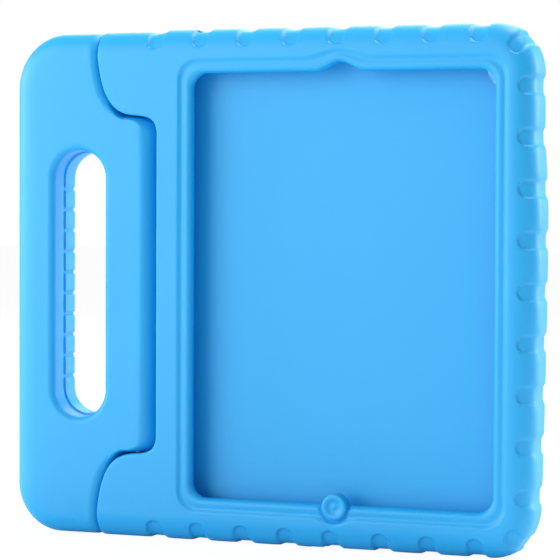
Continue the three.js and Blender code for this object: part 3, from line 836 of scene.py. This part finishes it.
    rim = border[None] + inward[None] * (HANDLE_SHARES[:, None] * reach[None])[..., None]
    rim_front, rim_back = heights(rim)
    slot_rows = np.stack([slot_at(q) for q in SLOT_OFFSETS])
    share = (np.arange(1, BRIDGE_ROWS + 1) / (BRIDGE_ROWS + 1.0))[:, None, None]
    bridge = rim[-1] * (1 - share) + slot_rows[0] * share
    bridge_front, bridge_back = heights(bridge)
    slot_front = heights(slot_rows)[0] + roll(SLOT_OFFSETS, SLOT_ROUND, SLOT_ROUND)[:, None]
    nearest = np.abs(slot_height[:, None] - groove_z).min(axis=1)
    hollow = 1 - ramp(nearest, GROOVE_WIDTH / 2 - GROOVE_SOFT[0], GROOVE_WIDTH / 2 + GROOVE_SOFT[1])
    groove = hollow * GROOVE_DEPTH * (arc > LEFT_WALL)

    inner_rows = [slot_at((offset + groove * grooved)[:, None]) for offset, _, grooved in SLOT_INNER]
    border_y = rim_back[0] + (rim_front[0] - rim_back[0]) * BORDER_STEPS[:, None]
    parts = [
        stack_rows(rim, rim_front),
        stack_rows(bridge, bridge_front),
        stack_rows(slot_rows, slot_front),
        stack_rows([slot_at(0.0)] * len(SLOT_WALL_Y), SLOT_WALL_Y),
        stack_rows(inner_rows, [y for _, y, _ in SLOT_INNER]),
        stack_rows([slot_at(SLOT_BACK_OFFSET)], [BACK_Y]),
        stack_rows(bridge[::-1], bridge_back[::-1]),
        stack_rows(rim[::-1], rim_back[::-1]),
        stack_rows([rim[0]] * len(border_y), border_y),
    ]
    return np.concatenate(parts, axis=0)


def handle_foam(material):
    """The handle as one closed ring-shaped grid of both halves."""
    upper = handle_half(1)
    lower = handle_half(-1)[:, 1:-1][:, ::-1] * np.array([1, 1, -1])
    full = np.concatenate([upper, lower], axis=1)
    faces = grid_faces(full.shape[0], full.shape[1], True)[:, ::-1].tolist()
    piece = mesh_object("handle_foam", full.reshape(-1, 3), faces, material)
    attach(piece, "handle")
    return piece


# Profile of the pad from the middle of its front round to the middle of its back: share of the
# radius, depth
PAD_PROFILE = ((0.0, -5.55), (0.075, -5.5), (0.14, -5.35), (0.195, -5.2), (0.27, -5.12), (0.39, -5.2),
               (0.49, -5.5), (0.58, -5.95), (0.67, -6.2), (0.76, -6.3), (0.85, -6.28), (0.925, -6.1),
               (0.97, -5.8), (0.993, -5.4), (1.0, -5.0), (1.0, -3.5), (1.0, -0.5), (0.94, -0.1), (0.0, -0.1))
PAD_TURNS = 64


def pad_foam(material):
    """The soft button pad: a turned profile, a disc with a rounded rim, a dish and a raised middle."""
    share, depth = np.array(PAD_PROFILE).T
    radius = PAD_RADIUS * share
    turns = np.linspace(0, 2 * np.pi, PAD_TURNS, endpoint=False)
    inner = slice(1, -1)
    x = PAD_X + radius[inner, None] * np.cos(turns)
    z = PAD_Z + radius[inner, None] * np.sin(turns)
    y = np.broadcast_to(depth[inner, None], x.shape)
    grid = np.stack([x, y, z], axis=-1)
    points = np.vstack([grid.reshape(-1, 3), [[PAD_X, depth[0], PAD_Z]], [[PAD_X, depth[-1], PAD_Z]]])
    rings, count = grid.shape[:2]
    quads = grid_faces(rings, count, False).tolist()
    fans = fan(rings * count, 0, count, True) + fan(rings * count + 1, (rings - 1) * count, count, False)
    piece = mesh_object("button_pad", points, quads + fans, material)
    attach(piece, "case")
    return piece


def principled(name, color, roughness):
    """A new material with its node tree and its Principled shader."""
    material = bpy.data.materials.new(name)
    material.use_nodes = True
    shader = material.node_tree.nodes["Principled BSDF"]
    shader.inputs["Base Color"].default_value = (*color, 1.0)
    shader.inputs["Roughness"].default_value = roughness
    return material, material.node_tree, shader


def foam_material():
    """Blue closed-cell foam: a fine pebbled skin with faint cloudy shifts of colour."""
    material, tree, shader = principled("blue_foam_skin", (0.002, 0.41, 0.86), 0.5)
    shader.inputs["Specular IOR Level"].default_value = 0.7
    nodes, links = tree.nodes, tree.links
    place = nodes.new("ShaderNodeTexCoord")
    cloud = nodes.new("ShaderNodeTexNoise")
    cloud.inputs["Scale"].default_value = 14.0
    cloud.inputs["Detail"].default_value = 3.0
    tint = nodes.new("ShaderNodeMix")
    tint.data_type = "RGBA"
    tint.inputs["A"].default_value = (0.0, 0.395, 0.845, 1.0)
    tint.inputs["B"].default_value = (0.004, 0.425, 0.875, 1.0)
    links.new(place.outputs["Object"], cloud.inputs["Vector"])
    links.new(cloud.outputs["Fac"], tint.inputs["Factor"])
    links.new(tint.outputs["Result"], shader.inputs["Base Color"])
    grain = nodes.new("ShaderNodeTexNoise")
    grain.inputs["Scale"].default_value = 1400.0
    grain.inputs["Detail"].default_value = 2.0
    pebble = nodes.new("ShaderNodeBump")
    pebble.inputs["Strength"].default_value = 0.12
    pebble.inputs["Distance"].default_value = 0.0002
    links.new(place.outputs["Object"], grain.inputs["Vector"])
    links.new(grain.outputs["Fac"], pebble.inputs["Height"])
    links.new(pebble.outputs["Normal"], shader.inputs["Normal"])
    return material


def plastic_material(name, color, roughness):
    """Moulded plastic with a slight ripple in its surface."""
    material, tree, shader = principled(name, color, roughness)
    place = tree.nodes.new("ShaderNodeTexCoord")
    ripple = tree.nodes.new("ShaderNodeTexNoise")
    ripple.inputs["Scale"].default_value = 300.0
    relief = tree.nodes.new("ShaderNodeBump")
    relief.inputs["Strength"].default_value = 0.08
    relief.inputs["Distance"].default_value = 0.0002
    tree.links.new(place.outputs["Object"], ripple.inputs["Vector"])
    tree.links.new(ripple.outputs["Fac"], relief.inputs["Height"])
    tree.links.new(relief.outputs["Normal"], shader.inputs["Normal"])
    return material


def stage_material():
    """White floor: to the camera mostly an even white glow over a matt ground that keeps the shadow."""
    material, tree, shader = principled("white_stage", (0.8, 0.8, 0.8), 0.9)
    nodes, links = tree.nodes, tree.links
    glow = nodes.new("ShaderNodeEmission")
    glow.inputs["Strength"].default_value = 1.04
    path = nodes.new("ShaderNodeLightPath")
    share = nodes.new("ShaderNodeMath")
    share.operation = "MULTIPLY"
    share.inputs[1].default_value = 0.9
    mix = nodes.new("ShaderNodeMixShader")
    links.new(path.outputs["Is Camera Ray"], share.inputs[0])
    links.new(share.outputs["Value"], mix.inputs["Fac"])
    links.new(shader.outputs["BSDF"], mix.inputs[1])
    links.new(glow.outputs["Emission"], mix.inputs[2])
    links.new(mix.outputs["Shader"], nodes["Material Output"].inputs["Surface"])
    return material


def add_stage():
    """The floor that the case stands on."""
    floor = bpy.data.meshes.new("floor")
    floor.from_pydata([(-4, -3, 0), (4, -3, 0), (4, 6, 0), (-4, 6, 0)], [], [(0, 1, 2, 3)])
    floor.materials.append(stage_material())
    piece = bpy.data.objects.new("floor", floor)
    bpy.context.scene.collection.objects.link(piece)


def add_world():
    """Even white light all round, plain white where the camera sees it."""
    world = bpy.data.worlds.new("studio")
    bpy.context.scene.world = world
    world.use_nodes = True
    nodes, links = world.node_tree.nodes, world.node_tree.links
    ambient = nodes["Background"]
    ambient.inputs["Color"].default_value = (1, 1, 1, 1)
    ambient.inputs["Strength"].default_value = 0.43
    seen = nodes.new("ShaderNodeBackground")
    seen.inputs["Color"].default_value = (1, 1, 1, 1)
    seen.inputs["Strength"].default_value = 1.0
    path = nodes.new("ShaderNodeLightPath")
    mix = nodes.new("ShaderNodeMixShader")
    links.new(path.outputs["Is Camera Ray"], mix.inputs["Fac"])
    links.new(ambient.outputs["Background"], mix.inputs[1])
    links.new(seen.outputs["Background"], mix.inputs[2])
    links.new(mix.outputs["Shader"], nodes["World Output"].inputs["Surface"])


def add_area(name, place, target, size, power):
    """A square white area light at a place, turned towards a target."""
    light = bpy.data.lights.new(name, "AREA")
    light.size = size
    light.energy = power
    lamp = bpy.data.objects.new(name, light)
    bpy.context.scene.collection.objects.link(lamp)
    direction = Vector(target) - Vector(place)
    lamp.location = place
    lamp.rotation_euler = direction.to_track_quat("-Z", "Y").to_euler()


# Lights: name, place, target (metres), size, power
LIGHTS = (
    ("key", (-1.05, -1.4, 0.6), (0, 0, 0.13), 1.5, 19.5),
    ("right_rim", (1.35, 1.1, 0.5), (0.1, 0, 0.13), 0.8, 16.0),
    ("top_rim", (-0.35, 1.35, 1.35), (0, 0, 0.2), 1.2, 16.0),
    ("overhead", (0.5, 0.4, 1.7), (0.05, 0, 0.2), 0.9, 22.0),
    ("left_fill", (-1.75, -0.2, 0.5), (-0.1, 0, 0.13), 0.8, 11.0),
)


def add_camera():
    """The photograph's view, solved from the corners of the window and of the case's front. Its aim is
    centred screen_rise above the case's mid-height."""
    screen_rise = 1.0
    azimuth, elevation, roll_angle = 0.386641, 0.0349676, 0.00427753
    distance, shift_x, shift_z = 1240.617, 30.725, -3.302
    focal_px, frame_px, sensor = 2491.174, 560.0, 36.0
    level = np.cos(elevation)
    back = np.array([np.sin(azimuth) * level, -np.cos(azimuth) * level, np.sin(elevation)])
    right = np.cross([0.0, 0.0, 1.0], back)
    right /= np.linalg.norm(right)
    up = np.cross(back, right)
    c, s = np.cos(roll_angle), np.sin(roll_angle)
    right, up = c * right + s * up, -s * right + c * up
    place = distance * back - shift_x * right - shift_z * up
    camera_data = bpy.data.cameras.new("camera")
    camera_data.sensor_width = sensor
    camera_data.lens = focal_px * sensor / frame_px
    camera_data.clip_end = 20.0
    camera = bpy.data.objects.new("camera", camera_data)
    bpy.context.scene.collection.objects.link(camera)
    place = (place + ORIGIN + (0.0, 0.0, screen_rise)) * MM
    matrix = Matrix([[right[i], up[i], back[i], place[i]] for i in range(3)] + [[0, 0, 0, 1]])
    camera.matrix_world = matrix
    bpy.context.scene.camera = camera


add_camera()
foam = foam_material()
case_piece = case_foam(foam)
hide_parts("case_shell")
pad_piece = pad_foam(foam)
handle_piece = handle_foam(foam)
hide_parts("handle")

pin_finish = plastic_material("grey_blue_pin", (0.16, 0.27, 0.42), 0.3)
sleeve_finish = plastic_material("dark_blue_sleeve", (0.05, 0.14, 0.34), 0.45)
for name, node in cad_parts.items():
    if name.startswith("pivot_pin"):
        node.data.materials.clear()
        node.data.materials.append(pin_finish)
    elif "sleeve" in name:
        node.data.materials.clear()
        node.data.materials.append(sleeve_finish)

add_stage()
add_world()
for light in LIGHTS:
    add_area(*light)

scene = bpy.context.scene
scene.view_settings.view_transform = "Standard"
